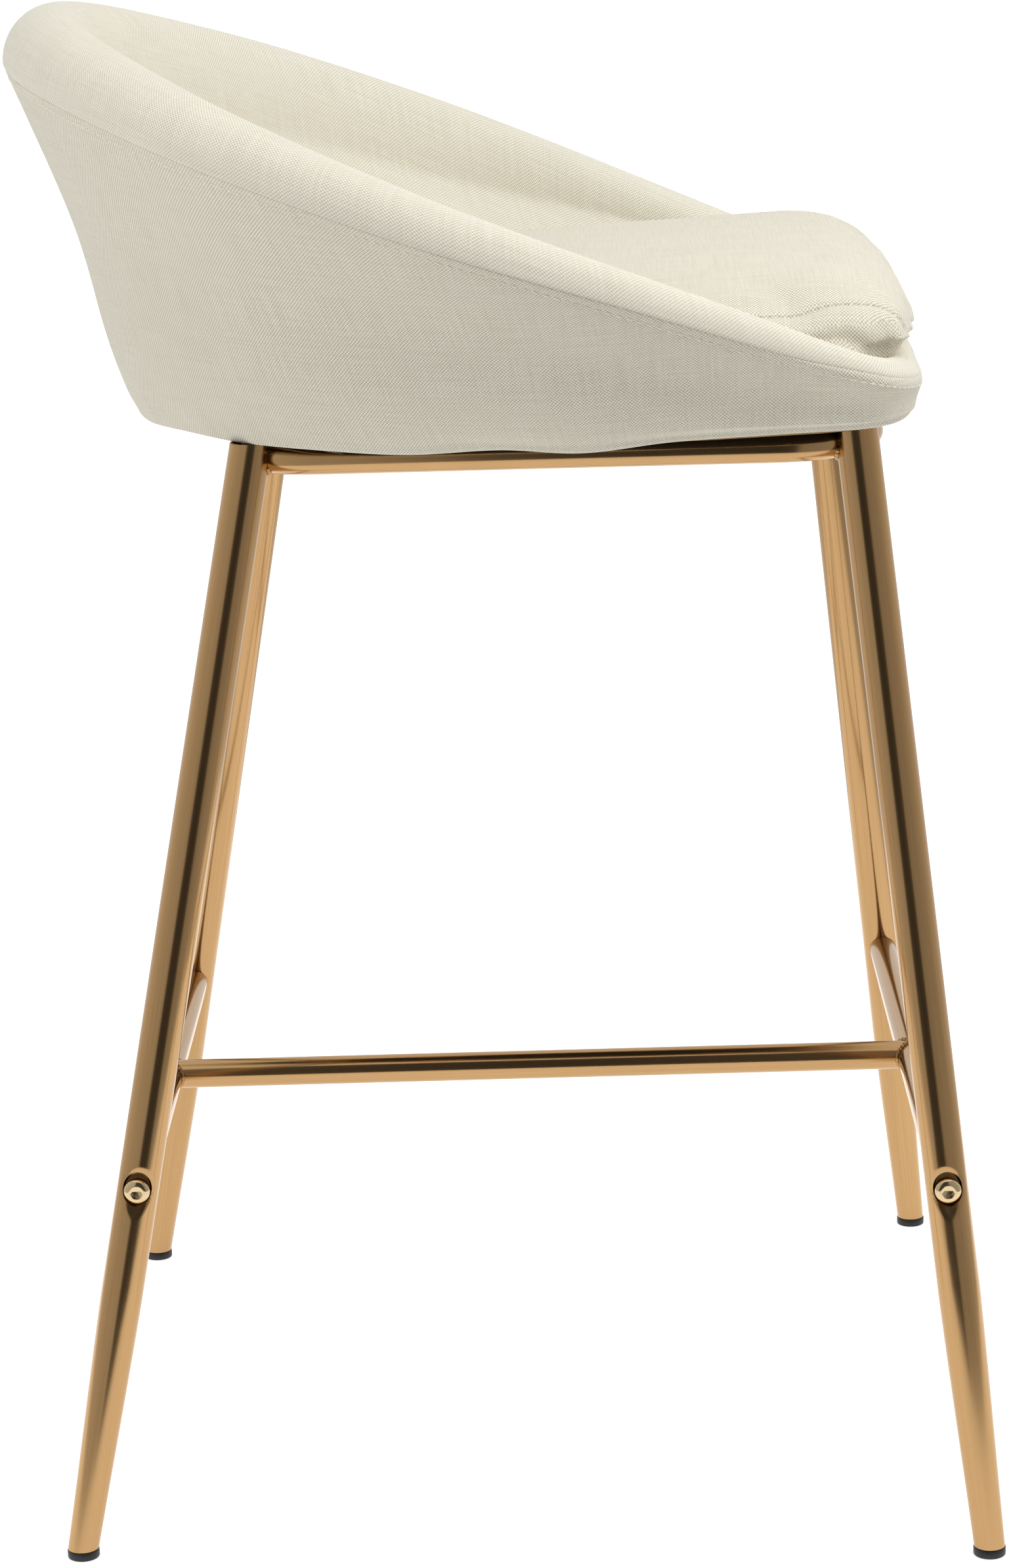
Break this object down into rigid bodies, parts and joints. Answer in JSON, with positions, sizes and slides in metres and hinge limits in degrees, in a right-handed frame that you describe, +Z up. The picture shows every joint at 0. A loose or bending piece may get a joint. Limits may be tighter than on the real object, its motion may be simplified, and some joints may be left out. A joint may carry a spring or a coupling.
{
  "type": "bar stool with footrest",
  "caption": "Counter-height stool: round upholstered bucket seat with a loose cushion on four splayed tapered metal tube legs with an H-shaped footrest",
  "frame": {"origin": "on the floor, below the middle of the whole stool's box", "axes": "+Z up, -Y the way the seat faces, +X to the right as seen from the front"},
  "size_m": [0.5524, 0.5074, 0.7934],
  "materials": {
    "gold_tube": "brushed antique-gold plating on steel tube",
    "gold_bolt": "bright pale-gold plating",
    "zinc_steel": "zinc plated",
    "black_plastic": "moulded, satin",
    "plywood": "raw plywood",
    "moulded_shell": "moulded, rough",
    "cream_fabric": "basket-weave upholstery cloth over foam",
    "dust_cloth": "black non-woven cloth"
  },
  "bodies": {
    "root": {"seat_ring": "gold_tube", "shell_outer_panel": "cream_fabric", "shell_core": "moulded_shell", "shell_rim_band": "cream_fabric", "seat_cushion": "cream_fabric", "seat_tab_rear_left": "gold_tube", "seat_screw_rear_left": "zinc_steel", "tee_nut_rear_left": "zinc_steel", "seat_tab_front_left": "gold_tube", "seat_screw_front_left": "zinc_steel", "tee_nut_front_left": "zinc_steel", "seat_tab_rear_right": "gold_tube", "seat_screw_rear_right": "zinc_steel", "tee_nut_rear_right": "zinc_steel", "seat_tab_front_right": "gold_tube", "seat_screw_front_right": "zinc_steel", "tee_nut_front_right": "zinc_steel", "seat_board": "plywood", "dust_cover": "dust_cloth", "leg_front_left": "gold_tube", "leg_front_right": "gold_tube", "leg_rear_left": "gold_tube", "leg_rear_right": "gold_tube", "foot_cap_front_left": "black_plastic", "foot_cap_front_right": "black_plastic", "foot_cap_rear_left": "black_plastic", "foot_cap_rear_right": "black_plastic", "footrest_bar_front": "gold_tube", "footrest_bar_rear": "gold_tube", "footrest_centre_bar": "gold_tube", "footrest_insert_front_left": "zinc_steel", "footrest_bolt_front_left": "gold_bolt", "footrest_insert_front_right": "zinc_steel", "footrest_bolt_front_right": "gold_bolt", "footrest_insert_rear_left": "zinc_steel", "footrest_bolt_rear_left": "gold_bolt", "footrest_insert_rear_right": "zinc_steel", "footrest_bolt_rear_right": "gold_bolt"}
  },
  "joints": []
}
